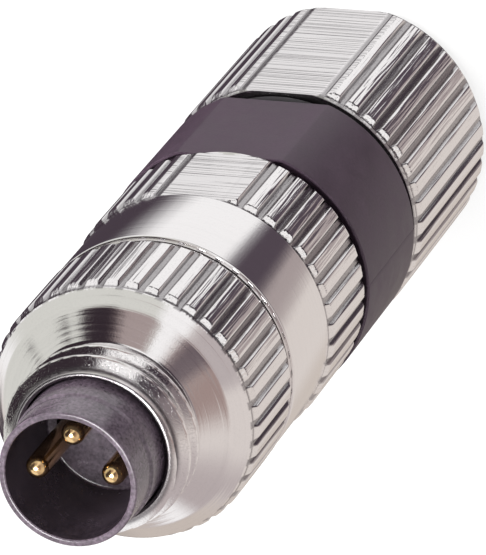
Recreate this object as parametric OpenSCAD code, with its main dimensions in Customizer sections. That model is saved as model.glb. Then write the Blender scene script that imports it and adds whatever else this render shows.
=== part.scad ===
/* [Clamp nut] */
// Length of the clamp nut along the axis
nut_len = 10.2; // [9:0.1:12]
// Diameter over the teeth of the clamp nut
nut_d = 12.2; // [12:0.1:14]
// Teeth round the clamp nut
nut_teeth = 40; // [30:1:44]
// Radius of the cable hole in the back wall
cable_hole_r = 2.9; // [2.6:0.05:3]
// Thickness of the back wall round the cable hole
nut_wall = 2.8; // [2:0.1:3.2]
// Length of the conical seat that squeezes the cage
seat_len = 1.9; // [1.4:0.1:2.4]
// Gap between the clamp nut and the splice body when tight
nut_gap = 0.65; // [0.5:0.05:1]

/* [Splice body] */
// Length of the outer ring of the splice body
ring_len = 6.5; // [5:0.1:8]
// Outer diameter of the ring
ring_d = 12.1; // [11.8:0.1:13.5]
// Outer diameter of the rear thread that takes the clamp nut
neck_thread_d = 9.9; // [9.5:0.1:10.1]
// Pitch of the rear thread
neck_pitch = 0.75; // [0.5:0.05:1]
// Bore that the wire guide slides in, as a diameter
guide_bore_d = 7.4; // [7.1:0.1:7.6]

/* [Front housing] */
// Length of the knurled grip
grip_len = 5.05; // [4:0.05:7]
// Diameter over the teeth of the grip
grip_d = 12; // [11.9:0.1:13.5]
// Teeth round the grip
grip_teeth = 39; // [30:1:44]
// Length of the smooth band
band_len = 4.6; // [3.6:0.1:6]
// Diameter of the smooth band
band_d = 11.68; // [11:0.02:12]
// Spanner size across the two flats of grip, ring and nut
across_flats = 11.3; // [10.9:0.1:11.8]
// Diameter of the neck that the coupling screw turns on
pivot_d = 9.6; // [9.3:0.05:9.8]
// Length of that neck
pivot_len = 3.4; // [2.8:0.1:3.9]
// Bore behind the shoulder that takes the carrier flange, as a diameter
flange_bore_d = 8.3; // [7.9:0.1:8.4]
// Bore that takes the front spigot of the splice body, as a diameter
spigot_bore_d = 9.5; // [9.3:0.05:9.7]

/* [Coupling screw] */
// Length of the knurled ring
knurl_len = 5.05; // [4.5:0.05:6]
// Diameter over the teeth of the knurled ring
knurl_d = 11.76; // [11.4:0.02:12.6]
// Teeth round the knurled ring
knurl_teeth = 41; // [30:1:44]
// Height of the conical front face
face_h = 1.15; // [0.8:0.05:1.6]
// Outer diameter of the coupling thread
thread_d = 8; // [7.8:0.1:8.6]
// Pitch of the coupling thread
thread_pitch = 1; // [0.75:0.05:1.1]
// Length from the conical face to the end of the thread
thread_len = 2.55; // [2.4:0.05:4]
// Wall between the bore and the root of the coupling thread
thread_wall = 0.26; // [0.2:0.02:0.4]

/* [Contact carrier] */
// How far the shroud stands out of the coupling screw
shroud_reach = 2.95; // [2:0.05:4]
// Depth of the shroud's socket
shroud_depth = 5; // [4.4:0.1:6]
// Wall of the shroud at its mouth
shroud_wall = 0.3; // [0.25:0.01:0.45]
// Outer diameter of the carrier in the housing
carrier_d = 6.2; // [6:0.05:6.3]
// Thickness of the flange that holds the carrier
flange_t = 1.6; // [1.2:0.1:2]
// Thickness of the disc that holds the forks
holder_t = 3.6; // [3:0.1:4]

/* [Contacts] */
// Radius of the circle through the pins
pin_circle_r = 1.65; // [1.5:0.01:1.75]
// Diameter of a contact pin
pin_d = 1; // [0.8:0.05:1.1]
// How far the pin tips lie behind the shroud's mouth
pin_recess = 0.56; // [0.2:0.02:1]
// Width of a fork blade
fork_w = 1.7; // [1.4:0.1:1.9]
// Sheet thickness of a fork
fork_t = 0.4; // [0.3:0.05:0.5]
// Length of the tines that stand out of the holder
tine_len = 4; // [3:0.1:4.4]
// Width of the slot that grips the wire
tine_gap = 0.3; // [0.2:0.05:0.5]

/* [Cable clamp] */
// Length of the slotted cage
cage_len = 4.6; // [4:0.1:5]
// Slots round the cage
cage_slots = 8; // [6:1:10]
// Wall of the cage
cage_wall = 0.95; // [0.7:0.05:1.1]
// Thickness of the slip washer
washer_t = 0.5; // [0.3:0.1:0.8]
// Length of the cable seal
seal_len = 4; // [3:0.1:4.6]
// Radius of the cable hole through the seal
seal_hole_r = 2.2; // [1.9:0.05:2.4]

/* [Fits] */
// Radial and end play of pieces that move
run = 0.1; // [0.06:0.01:0.15]
// Radial play of pieces that stay put
slip = 0.05; // [0.03:0.01:0.08]
// Play round the sealing rings and the snap ring
ring_play = 0.03; // [0.02:0.01:0.05]

/* [Hidden] */

round_fn = 96;
small_fn = 48;
cut = 0.1;

// Colours of the finishes
nickel = "#c8c4bf";
moulded_black = "#443c44";
gilt = "#e2bd72";
tin = "#cfcfd2";
rubber = "#242126";
natural_nylon = "#d8d2c4";

// Directions of the three contacts round the axis
pin_1_turn = 0;
pin_4_turn = 90;
pin_3_turn = 180;

// Heights along the axis, from the back of the clamp nut to the mouth of the shroud
ring_z = nut_len + nut_gap;
ring_top = ring_z + ring_len;
grip_top = ring_top + grip_len;
band_top = grip_top + band_len;
screw_z = band_top + run;
knurl_top = screw_z + knurl_len;
face_top = knurl_top + face_h;
thread_top = face_top + thread_len;
mouth_z = thread_top + shroud_reach;
floor_z = mouth_z - shroud_depth;
pivot_top = band_top + pivot_len;

// Shoulder in the housing and what is stacked behind it
shoulder_drop = 0.2;
shoulder_z = band_top - shoulder_drop;
flange_z = shoulder_z - flange_t;
holder_z = flange_z - holder_t;
tail_drop = 1.3;
tail_z = flange_z - tail_drop;
tine_z = holder_z - tine_len;

// Stack that travels with the clamp nut
seat_top = nut_wall + seat_len;
cage_z = nut_wall + run;
cage_top = cage_z + cage_len;
washer_top = cage_top + washer_t;
seal_top = washer_top + seal_len;
guide_top = holder_z - run;
neck_play = 0.15;
neck_z = seat_top + neck_play;

// Radii that pieces share
carrier_r = carrier_d / 2;
mouth_step = 0.1;
mouth_r = carrier_r - mouth_step;
socket_r = mouth_r - shroud_wall;
flange_r = flange_bore_d / 2 - slip;
pivot_r = pivot_d / 2;
screw_bore_r = carrier_r + run;
thread_r = thread_d / 2;
thread_root_r = screw_bore_r + thread_wall;
spigot_r = spigot_bore_d / 2 - slip;
guide_bore_r = guide_bore_d / 2;
guide_r = guide_bore_r - run;
neck_r = neck_thread_d / 2;
nut_bore_r = neck_r + run;
pin_r = pin_d / 2;
cage_hole_r = guide_r - cage_wall;
seat_slope = 0.28;
seat_drop = seat_slope * (seat_top - cage_z);

// Knurl teeth: depth of the slots, shares of crest and slot floor, run of the bevelled ends
tooth_depth = 0.2;
crest_share = 0.56;
slot_floor_share = 0.06;
tooth_bevel = 0.42;
tooth_sink = 0.02;
rim_w = 0.12;
rim_edge = 0.08;
edge = 0.25;
knurl_root_r = knurl_d / 2 - tooth_depth;
grip_root_r = grip_d / 2 - tooth_depth;
nut_root_r = nut_d / 2 - tooth_depth;

// Where a slot lies on each knurl, as an angle round the axis
knurl_slot_turn = 70;
grip_slot_turn = 68.5;
nut_slot_turn = 63;

// Front face of the coupling screw: a shallow inner cone and a steeper outer one
face_step = 0.15;
face_break_share = 0.61;
face_break_rise = 0.48;
face_root_r = thread_r + face_step;
face_break_r = face_root_r + face_break_share * (knurl_root_r - face_root_r);
face_break_h = face_break_rise * face_h;

// Sections of the sealing rings and of the snap ring
carrier_ring_r = 0.25;
carrier_groove_r = carrier_r + slip - 2 * (carrier_ring_r + ring_play);
carrier_groove_z = (flange_z + flange_t + pivot_top) / 2;
spigot_ring_r = 0.25;
spigot_groove_r = spigot_bore_d / 2 - 2 * (spigot_ring_r + ring_play);
spigot_groove_z = (ring_top + holder_z) / 2;
gap_ring_r = nut_gap / 2 - ring_play;
snap_h = 0.6;
snap_bite = 0.45;
snap_catch = 0.2;
snap_open = 40;
snap_z = band_top + pivot_len / 2;
snap_in_r = pivot_r - snap_bite;
snap_out_r = pivot_r + run + snap_catch;

// Contact pins: shank in the carrier, collar behind it, tail in the fork holder
shank_step = 0.17;
collar_step = 0.2;
tail_step = 0.2;
collar_h = 0.8;
shank_r = pin_r + shank_step;
collar_r = shank_r + collar_step;
tail_r = pin_r - tail_step;

// Wire guide: passage for the cores and the grooves that bend them outwards
core_r = 1.05;
core_groove_w = 1.3;
core_groove_h = 1.5;
fork_room = 0.15;
funnel_h = 2;

// Thread profiles are rings with flat crests and flat roots, given as shares of the pitch
crest_half = 0.09;
root_edge = 0.4;
thread_depth = thread_r - thread_root_r;
thread_first = 0.74;
thread_runout = 0.3;
thread_rings = max(1, floor((thread_len - thread_first - thread_runout) / thread_pitch) + 1);
neck_depth = 0.4;
neck_plain = 1.2;
neck_lead = 0.3;
neck_rings = floor((ring_z - neck_plain - neck_z) / neck_pitch);

function polar(r, a) = [r * cos(a), r * sin(a)];

// Section of thread rings from the bottom up: root, root, crest, crest for each ring
function thread_section(top_z, rings, pitch, crest_r, depth) = [
  for (i = [rings - 1 : -1 : 0],
    p = [[-depth, root_edge - 1], [-depth, -root_edge], [0, -crest_half], [0, crest_half]])
    if (i < rings - 1 || p[1] > root_edge - 1) [crest_r + p[0], top_z - (i - p[1]) * pitch]];

// Solid of revolution from a half section
module turned(section) {
  rotate_extrude($fn = round_fn)
    polygon(section);
}

// Ring of round section
module round_ring(mid_r, wire_r, z) {
  translate([0, 0, z])
    rotate_extrude($fn = round_fn)
      translate([mid_r, 0])
        circle(wire_r, $fn = small_fn);
}

// Straight knurl: flat-topped teeth with bevelled ends, to be joined to a plain core
module knurl(tip_r, root_r, z0, z1, teeth, slot_turn) {
  pitch = 360 / teeth;
  crest = crest_share * pitch / 2;
  foot = (1 - slot_floor_share) * pitch / 2;
  foot_r = root_r - tooth_sink;
  slope = tooth_bevel / tooth_depth;
  under = slope * tooth_sink;
  over = tooth_bevel + slope * cut;
  intersection() {
    translate([0, 0, z0])
      rotate(slot_turn + pitch / 2)
        linear_extrude(z1 - z0)
          polygon([for (i = [0 : teeth - 1],
            p = [[foot_r, -foot], [tip_r, -crest], [tip_r, crest], [foot_r, foot]])
            polar(p[0], i * pitch + p[1])]);
    turned([[0, z0 - under], [foot_r, z0 - under], [tip_r + cut, z0 + over], [tip_r + cut, z1 - over],
      [foot_r, z1 + under], [0, z1 + under]]);
  }
}

// What the two spanner flats take away
module flat_cuts(z0, z1) {
  reach = 2 * nut_d;
  for (side = [0, 180])
    rotate(side)
      translate([-reach / 2, across_flats / 2, z0])
        cube([reach, reach, z1 - z0]);
}

// Moulded insulator: socket shroud, pin holes, seal groove and the flange that holds it
module contact_carrier() {
  mouth_round = 0.1;
  step_share = 0.44;
  step_z = thread_top + step_share * shroud_reach;
  groove_h = carrier_ring_r + ring_play;
  color(moulded_black)
    difference() {
      turned([[0, flange_z], [flange_r, flange_z], [flange_r, shoulder_z], [carrier_r, shoulder_z],
        [carrier_r, carrier_groove_z - groove_h], [carrier_groove_r, carrier_groove_z - groove_h],
        [carrier_groove_r, carrier_groove_z + groove_h], [carrier_r, carrier_groove_z + groove_h],
        [carrier_r, step_z - mouth_step], [mouth_r, step_z], [mouth_r, mouth_z - mouth_round],
        [mouth_r - mouth_round, mouth_z], [socket_r + mouth_round, mouth_z],
        [socket_r, mouth_z - mouth_round], [socket_r, floor_z], [0, floor_z]]);
      for (turn = [pin_1_turn, pin_4_turn, pin_3_turn])
        rotate(turn)
          translate([pin_circle_r, 0, 0])
            pin_hole();
    }
}

// Stepped hole for the shank and the collar of one pin
module pin_hole() {
  translate([0, 0, flange_z - cut])
    cylinder(r = shank_r + ring_play, h = floor_z - flange_z + 2 * cut, $fn = small_fn);
  translate([0, 0, flange_z - cut])
    cylinder(r = collar_r + ring_play, h = collar_h + cut, $fn = small_fn);
}

// Turned pin with a round tip, at its place on the pin circle
module contact_pin(turn) {
  tip_z = mouth_z - pin_recess - pin_r;
  color(gilt)
    rotate(turn)
      translate([pin_circle_r, 0, 0]) {
        translate([0, 0, tip_z])
          sphere(pin_r, $fn = small_fn);
        translate([0, 0, floor_z])
          cylinder(r = pin_r, h = tip_z - floor_z, $fn = small_fn);
        translate([0, 0, flange_z])
          cylinder(r = shank_r, h = floor_z - flange_z, $fn = small_fn);
        translate([0, 0, flange_z])
          cylinder(r = collar_r, h = collar_h, $fn = small_fn);
        translate([0, 0, tail_z])
          cylinder(r = tail_r, h = flange_z - tail_z, $fn = small_fn);
      }
}

// Sealing ring between carrier and housing
module carrier_seal() {
  color(rubber)
    round_ring(carrier_groove_r + ring_play + carrier_ring_r, carrier_ring_r, carrier_groove_z);
}

// Insulating disc that holds the forks behind the pins
module fork_holder() {
  slot = [fork_t + 2 * ring_play, fork_w + 2 * ring_play];
  color(moulded_black)
    difference() {
      turned([[0, holder_z], [flange_r, holder_z], [flange_r, flange_z], [0, flange_z]]);
      for (turn = [pin_1_turn, pin_4_turn, pin_3_turn])
        rotate(turn)
          translate([pin_circle_r, 0, 0]) {
            translate([0, 0, tail_z])
              cylinder(r = tail_r + ring_play, h = flange_z - tail_z + cut, $fn = small_fn);
            translate([-slot[0] / 2, -slot[1] / 2, holder_z - cut])
              cube([slot[0], slot[1], tail_z - holder_z + cut]);
          }
    }
}

// Stamped insulation-displacement fork with a flared slot between its two tines
module idc_fork(turn) {
  flare = 0.35;
  slot_share = 0.75;
  half_w = fork_w / 2;
  half_gap = tine_gap / 2;
  slot_top = tine_z + slot_share * tine_len;
  color(tin)
    rotate(turn)
      translate([pin_circle_r - fork_t / 2, 0, 0])
        rotate([90, 0, 90])
          linear_extrude(fork_t)
            polygon([[-half_w, tail_z], [-half_w, tine_z + flare], [-half_gap - flare, tine_z],
              [-half_gap, tine_z + 2 * flare], [-half_gap, slot_top], [half_gap, slot_top],
              [half_gap, tine_z + 2 * flare], [half_gap + flare, tine_z], [half_w, tine_z + flare],
              [half_w, tail_z]]);
}

// Turned and plated housing: pivot neck, smooth band and knurled grip with spanner flats
module front_housing() {
  lip = 0.12;
  groove_h = snap_h / 2 + ring_play;
  color(nickel)
    difference() {
      union() {
        turned([[0, ring_top], [grip_root_r - rim_edge, ring_top], [grip_root_r, ring_top + rim_edge],
          [grip_root_r, grip_top], [band_d / 2 - lip, grip_top], [band_d / 2, grip_top + lip],
          [band_d / 2, band_top - lip], [band_d / 2 - lip, band_top], [pivot_r, band_top],
          [pivot_r, snap_z - groove_h], [snap_in_r - ring_play, snap_z - groove_h],
          [snap_in_r - ring_play, snap_z + groove_h], [pivot_r, snap_z + groove_h],
          [pivot_r, pivot_top - edge], [pivot_r - edge, pivot_top], [0, pivot_top]]);
        knurl(grip_d / 2, grip_root_r, ring_top + rim_w, grip_top, grip_teeth, grip_slot_turn);
      }
      turned([[0, ring_top - cut], [spigot_bore_d / 2, ring_top - cut], [spigot_bore_d / 2, holder_z],
        [flange_bore_d / 2, holder_z], [flange_bore_d / 2, shoulder_z], [carrier_r + slip, shoulder_z],
        [carrier_r + slip, pivot_top + cut], [0, pivot_top + cut]]);
      flat_cuts(ring_top - cut, grip_top);
    }
}

// Sealing ring between the splice body's spigot and the housing
module housing_seal() {
  color(rubber)
    round_ring(spigot_groove_r + ring_play + spigot_ring_r, spigot_ring_r, spigot_groove_z);
}

// Split ring that keeps the coupling screw on the pivot neck
module snap_ring() {
  color(tin)
    translate([0, 0, snap_z - snap_h / 2])
      rotate(snap_open / 2)
        rotate_extrude(angle = 360 - snap_open, $fn = round_fn)
          translate([snap_in_r, 0])
            square([snap_out_r - snap_in_r, snap_h]);
}

// Coupling screw: knurled ring, conical face and the coupling thread
module coupling_screw() {
  mouth_flare = 0.12;
  groove_h = snap_h / 2 + run;
  groove_r = snap_out_r + run;
  start_r = screw_bore_r + mouth_flare;
  color(nickel)
    difference() {
      union() {
        turned(concat([[0, screw_z], [knurl_root_r - rim_edge, screw_z],
          [knurl_root_r, screw_z + rim_edge], [knurl_root_r, knurl_top],
          [face_break_r, knurl_top + face_break_h], [face_root_r, face_top], [thread_root_r, face_top]],
          thread_section(thread_top - thread_first, thread_rings, thread_pitch, thread_r, thread_depth),
          [[start_r, thread_top], [0, thread_top]]));
        knurl(knurl_d / 2, knurl_root_r, screw_z + rim_w, knurl_top - rim_w, knurl_teeth, knurl_slot_turn);
      }
      turned([[0, screw_z - cut], [pivot_r + run, screw_z - cut], [pivot_r + run, snap_z - groove_h],
        [groove_r, snap_z - groove_h], [groove_r, snap_z + groove_h], [pivot_r + run, snap_z + groove_h],
        [pivot_r + run, pivot_top + run], [screw_bore_r, pivot_top + run],
        [screw_bore_r, thread_top - mouth_flare], [start_r, thread_top], [start_r, thread_top + cut],
        [0, thread_top + cut]]);
    }
}

// Moulded body: front spigot, ring with flats and the rear thread for the clamp nut
module splice_body() {
  groove_h = spigot_ring_r + ring_play;
  color(moulded_black)
    difference() {
      turned(concat([[guide_bore_r, neck_z], [neck_r - neck_depth, neck_z]],
        thread_section(neck_z + (neck_rings - neck_lead) * neck_pitch, neck_rings, neck_pitch, neck_r,
          neck_depth),
        [[neck_r, ring_z], [ring_d / 2 - edge / 2, ring_z], [ring_d / 2, ring_z + edge / 2],
          [ring_d / 2, ring_top - edge], [ring_d / 2 - edge, ring_top], [spigot_r, ring_top],
          [spigot_r, spigot_groove_z - groove_h], [spigot_groove_r, spigot_groove_z - groove_h],
          [spigot_groove_r, spigot_groove_z + groove_h], [spigot_r, spigot_groove_z + groove_h],
          [spigot_r, holder_z], [guide_bore_r, holder_z]]));
      flat_cuts(ring_z - cut, ring_top + cut);
    }
}

// Sealing ring in the gap between clamp nut and splice body
module nut_o_ring() {
  color(rubber)
    round_ring(neck_r + ring_play + gap_ring_r, gap_ring_r, nut_len + nut_gap / 2);
}

// Sliding guide that bends the cores outwards and pushes them into the forks
module wire_guide() {
  slot = [fork_t + 2 * fork_room, fork_w + 2 * fork_room];
  color(natural_nylon)
    difference() {
      turned([[core_r, guide_top], [core_r, seal_top + funnel_h], [seal_hole_r, seal_top],
        [guide_r, seal_top], [guide_r, guide_top - edge], [guide_r - edge, guide_top]]);
      for (turn = [pin_1_turn, pin_4_turn, pin_3_turn])
        rotate(turn) {
          translate([0, -core_groove_w / 2, guide_top - core_groove_h])
            cube([guide_r + cut, core_groove_w, core_groove_h + cut]);
          translate([pin_circle_r - slot[0] / 2, -slot[1] / 2, tine_z - 2 * fork_room])
            cube([slot[0], slot[1], guide_top - tine_z + 2 * fork_room + cut]);
        }
    }
}

// Elastic ring with lips that closes on the cable
module cable_seal() {
  lips = 3;
  lip_h = seal_len / lips;
  groove = 0.2;
  color(rubber)
    turned(concat([[guide_r, washer_top], [guide_r, seal_top], [seal_hole_r, seal_top]],
      [for (i = [lips - 1 : -1 : 0], p = [[groove, 0.5], [0, 0]])
        [seal_hole_r + p[0], washer_top + (i + p[1]) * lip_h]]));
}

// Plain washer that lets the cage turn on the seal
module slip_washer() {
  color(natural_nylon)
    turned([[cage_hole_r, cage_top], [guide_r, cage_top], [guide_r, washer_top], [cage_hole_r, washer_top]]);
}

// Slotted cage whose fingers close on the cable as the nut's cone pushes them in
module clamp_cage() {
  slot_w = 0.5;
  collar = 1.2;
  color(moulded_black)
    difference() {
      turned([[cage_hole_r, cage_z], [guide_r - seat_drop, cage_z], [guide_r, seat_top],
        [guide_r, cage_top], [cage_hole_r, cage_top]]);
      for (i = [0 : cage_slots - 1])
        rotate(i * 360 / cage_slots)
          translate([cage_hole_r - cage_wall, -slot_w / 2, cage_z - cut])
            cube([3 * cage_wall, slot_w, cage_len - collar + cut]);
    }
}

// Knurled clamp nut: thread bore, conical seat, cable hole and two spanner flats
module clamp_nut() {
  hole_flare = 0.4;
  color(nickel)
    difference() {
      union() {
        turned([[0, 0], [nut_root_r - rim_edge, 0], [nut_root_r, rim_edge],
          [nut_root_r, nut_len - rim_edge], [nut_root_r - rim_edge, nut_len], [0, nut_len]]);
        knurl(nut_d / 2, nut_root_r, rim_w, nut_len - rim_w, nut_teeth, nut_slot_turn);
      }
      turned([[0, -cut], [cable_hole_r + hole_flare + cut, -cut], [cable_hole_r, hole_flare],
        [cable_hole_r, nut_wall], [guide_r - seat_drop + run, nut_wall], [guide_r + run, seat_top],
        [nut_bore_r, seat_top], [nut_bore_r, nut_len - edge], [nut_bore_r + edge + cut, nut_len + cut],
        [0, nut_len + cut]]);
      flat_cuts(-cut, nut_len + cut);
    }
}

contact_carrier();
contact_pin(pin_1_turn);  // contact_pin_1
contact_pin(pin_3_turn);  // contact_pin_3
contact_pin(pin_4_turn);  // contact_pin_4
carrier_seal();
fork_holder();
idc_fork(pin_1_turn);  // idc_fork_1
idc_fork(pin_3_turn);  // idc_fork_3
idc_fork(pin_4_turn);  // idc_fork_4
front_housing();
housing_seal();
snap_ring();
coupling_screw();
splice_body();
nut_o_ring();
wire_guide();
cable_seal();
slip_washer();
clamp_cage();
clamp_nut();
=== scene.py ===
import math
from functools import partial

import bpy
import numpy as np
from bpy.props import FloatProperty, FloatVectorProperty, IntProperty, PointerProperty
from mathutils import Matrix, Vector


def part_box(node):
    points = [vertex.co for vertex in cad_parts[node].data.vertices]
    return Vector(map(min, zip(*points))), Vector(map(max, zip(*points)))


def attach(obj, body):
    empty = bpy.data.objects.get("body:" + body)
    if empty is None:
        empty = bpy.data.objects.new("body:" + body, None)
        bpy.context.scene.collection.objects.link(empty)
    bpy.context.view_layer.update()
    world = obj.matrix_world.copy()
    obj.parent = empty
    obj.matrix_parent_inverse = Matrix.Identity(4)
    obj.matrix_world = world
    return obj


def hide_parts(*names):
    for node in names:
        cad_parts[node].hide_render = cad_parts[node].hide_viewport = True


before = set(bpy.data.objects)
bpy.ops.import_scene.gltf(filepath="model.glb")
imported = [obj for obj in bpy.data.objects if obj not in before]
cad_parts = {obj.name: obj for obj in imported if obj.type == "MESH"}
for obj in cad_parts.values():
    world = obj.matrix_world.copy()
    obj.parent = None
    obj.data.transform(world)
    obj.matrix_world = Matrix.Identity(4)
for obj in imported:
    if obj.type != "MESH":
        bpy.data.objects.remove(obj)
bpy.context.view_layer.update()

bl_info = {
    "name": "Sensor connector",
    "version": (1, 0, 0),
    "blender": (4, 5, 0),
    "location": "3D View > Sidebar > Connector",
    "description": "Dresses the frame of a straight circular sensor connector with three pins",
    "category": "Object",
}

MM = 0.001
# A length too small to see
HAIR = 0.01 * MM
# Edges sharper than this stay sharp in the shading
SHARP_EDGE = math.radians(38)

# Flat of a thread crest, slope of a flank from the radial, rounding of the edges, and width of the
# corner between flank and root that is rougher and darkened as painted shade, measured along the radius
THREAD_CREST = 0.14 * MM
THREAD_FLANK = math.radians(25)
THREAD_ROUND = 0.025 * MM
THREAD_CORNER = 0.12 * MM
# Rows of points along the coupling thread and along the neck with the rear thread
THREAD_ROWS = 94
NECK_ROWS = 96

# Columns beside the floor of a slot in widths of its flank, beside the edge of a flat, and beside the
# parting line of the moulded ring
FLANK_COLUMNS = np.array([0, 0.5, 0.85, 1, 1.15, 1.4, 1.8])
FLAT_COLUMNS = np.radians([-1.6, -1.2, -0.9, -0.6, -0.3, 0, 0.15])
PARTING_COLUMNS = np.radians([-0.12, 0.05, 0.41, 0.58])

# Share of a slot's depth at which the plate is fully rough and fully darkened by painted shade
DULL_AND_SHADE_DEPTH = 0.625
# Length of the corner at the foot of a tooth end that painted shade darkens, and its width on the plain rim
# beyond
END_CORNER = 0.1 * MM
RIM_CORNER = 0.05 * MM
# How rough the plate is, and how far painted shade darkens it, in slots, at ends and in the thread, from 0
# for bright to 1
SLOT_DULL_AND_SHADE = 0.55
END_DULL_AND_SHADE = 0.7
THREAD_DULL_AND_SHADE = 0.9
# How grainy it is in slots, on crests, on smooth faces and in the thread
SLOT_GRAIN = 0.9
CREST_GRAIN = 0.35
FACE_GRAIN = 0.12
THREAD_GRAIN = 0.45
# How strongly cutter marks show on turned faces, where a milled flat has 1
CONE_MARKS = 0.15
BAND_MARKS = 0.1


def linear(hex_colour):
    """Turns an sRGB hex colour into linear red, green, blue and a full alpha."""
    srgb = np.array([int(hex_colour[i : i + 2], 16) for i in (1, 3, 5)]) / 255
    light = np.where(srgb <= 0.04045, srgb / 12.92, ((srgb + 0.055) / 1.055) ** 2.4)
    return (*light.tolist(), 1.0)


WHITE = linear("#ffffff")


def span(node):
    """Lowest and highest height of a CAD node."""
    low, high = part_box(node)
    return low[2], high[2]


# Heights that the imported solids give; the nut's sealing ring lies midway between nut and moulded ring
NUT_BACK, NUT_FRONT = span("clamp_nut")
RING_BACK = sum(span("nut_o_ring")) - NUT_FRONT
NECK_BACK, SPIGOT_FRONT = span("splice_body")
GRIP_BACK, PIVOT_FRONT = span("front_housing")
SCREW_BACK, THREAD_FRONT = span("coupling_screw")
FLANGE_BACK, MOUTH_FRONT = span("contact_carrier")
PIN_BACK, PIN_FRONT = span("contact_pin_1")
SNAP_BACK, SNAP_FRONT = span("snap_ring")


def size(name, description, millimetres):
    """A length property whose default is given in millimetres."""
    return FloatProperty(
        name=name, description=description, default=millimetres * MM, unit="LENGTH", precision=5
    )


def share(name, description, value):
    """A plain ratio from 0 to 1."""
    return FloatProperty(name=name, description=description, default=value, subtype="FACTOR", min=0, max=1)


def colour(name, description, hex_colour):
    """A colour property whose default is an sRGB hex value."""
    return FloatVectorProperty(
        name=name, description=description, default=linear(hex_colour), size=4, subtype="COLOR", min=0, max=1
    )


def turn(name, description, degrees):
    """An angle property whose default is given in degrees."""
    return FloatProperty(name=name, description=description, default=math.radians(degrees), subtype="ANGLE")


class ToothSizes(bpy.types.PropertyGroup):
    """Teeth that the three knurls share."""

    depth: size("Slot depth", "Depth of a slot below the crests", 0.2)
    crest: share("Crest share", "Share of the pitch that is flat crest", 0.56)
    floor: share("Floor share", "Share of the pitch that is slot floor", 0.22)
    bevel: size("End bevel", "Length of the bevel at the ends of the teeth", 0.36)
    rim: size("Rim", "Plain rim beyond the teeth", 0.12)
    rim_edge: size("Rim edge", "Chamfer of that rim", 0.08)
    crest_round: size("Crest rounding", "Rounding of the plated crests", 0.06)
    edge: size("Edge rounding", "Rounding of the other plated edges", 0.03)
    flats: size("Across flats", "Spanner size across the two flats", 11.3)


class ScrewSizes(bpy.types.PropertyGroup):
    """Coupling screw."""

    tip: size("Tip radius", "Radius over the teeth", 5.88)
    teeth: IntProperty(name="Teeth", description="Teeth round the knurled ring", default=41)
    slot_turn: turn("Slot direction", "Where one slot lies round the axis", 70)
    knurl_len: size("Knurl length", "Length of the knurled ring", 5.05)
    face_h: size("Face height", "Height of the conical front face", 1.375)
    face_foot: size("Face foot", "Radius where the front face meets the thread", 3.8)
    face_break: size("Face break", "Radius where the two cones of the face meet", 5.08)
    break_h: size("Break height", "Height of that ring above the knurl", 0.552)
    crest: size("Thread crest", "Crest radius of the coupling thread", 4.0)
    root: size("Thread root", "Root radius of the coupling thread", 3.46)
    pitch: size("Pitch", "Pitch of the coupling thread", 1.0)
    bore: size("Bore", "Radius of the bore round the carrier", 3.2)
    flare: size("Bore flare", "Chamfer at the front of that bore", 0.12)
    pivot: size("Pivot bore", "Radius of the bore that turns on the housing", 4.9)
    groove: size("Groove depth", "Depth of the groove for the snap ring", 0.3)
    play: size("Play", "Running play along the axis", 0.1)
    relief: size("Relief", "Plain groove between the face and the thread", 0.08)
    end_face: size("End face", "Radius of the flat end of the thread", 3.42)
    lead: FloatProperty(name="Lead", description="Steepness of the cone at the thread's start", default=2.0)
    run_out: FloatProperty(name="Run-out", description="Steepness of the cone at the relief", default=3.0)
    first_crest: size("First crest", "Distance from the first crest to the end of the thread", 0.74)
    thread_turn: turn("Thread direction", "Side on which that distance is measured", 51.5)


class HousingSizes(bpy.types.PropertyGroup):
    """Front housing."""

    tip: size("Tip radius", "Radius over the teeth of the grip", 6.0)
    teeth: IntProperty(name="Teeth", description="Teeth round the grip", default=39)
    slot_turn: turn("Slot direction", "Where one slot lies round the axis", 68.5)
    grip_len: size("Grip length", "Length of the knurled grip", 5.05)
    band: size("Band radius", "Radius of the smooth band", 5.84)
    band_gap: size("Band gap", "Gap between band and coupling screw", 0.1)
    band_round: size("Band rounding", "Rounding of the edges of the band", 0.12)
    pivot: size("Pivot radius", "Radius of the neck in the coupling screw", 4.8)
    spigot_bore: size("Spigot bore", "Radius of the bore for the splice body", 4.75)
    flange_bore: size("Flange bore", "Radius of the bore for the carrier flange", 4.15)
    flange_t: size("Flange room", "Depth of that bore in front of the flange's back", 1.6)
    carrier_bore: size("Carrier bore", "Radius of the bore for the carrier", 3.15)


class BodySizes(bpy.types.PropertyGroup):
    """Splice body with its ring and rear thread."""

    ring: size("Ring radius", "Radius of the moulded ring", 6.05)
    flats: size("Across flats", "Width of the ring across its two flats", 11.1)
    lip: size("Lip", "Width of the lip round the recessed front of the ring", 0.13)
    recess: size("Recess", "Depth of that recess", 0.25)
    neck: size("Neck radius", "Crest radius of the rear thread", 4.95)
    neck_root: size("Neck root", "Root radius of the rear thread", 4.55)
    pitch: size("Neck pitch", "Pitch of the rear thread", 0.75)
    plain: size("Plain neck", "Plain neck between thread and ring", 1.2)
    bore: size("Bore", "Radius of the guide bore", 3.7)
    spigot: size("Spigot radius", "Radius of the front spigot", 4.7)
    parting: size("Parting line", "Depth of the mould parting line", 0.03)


class NutSizes(bpy.types.PropertyGroup):
    """Clamp nut."""

    tip: size("Tip radius", "Radius over the teeth", 6.1)
    teeth: IntProperty(name="Teeth", description="Teeth round the nut", default=40)
    slot_turn: turn("Slot direction", "Where one slot lies round the axis", 63)
    hole: size("Cable hole", "Radius of the cable hole", 2.9)
    flare: size("Hole flare", "Chamfer of that hole at the back", 0.4)
    wall: size("Back wall", "Thickness of the back wall", 2.8)
    seat: size("Seat length", "Length of the conical seat", 1.9)
    seat_small: size("Small seat radius", "Radius at the small end of the seat", 3.2)
    seat_large: size("Large seat radius", "Radius at the large end of the seat", 3.7)
    bore: size("Thread bore", "Radius of the thread bore", 5.05)
    bore_edge: size("Bore edge", "Chamfer at the front of that bore", 0.25)


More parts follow.
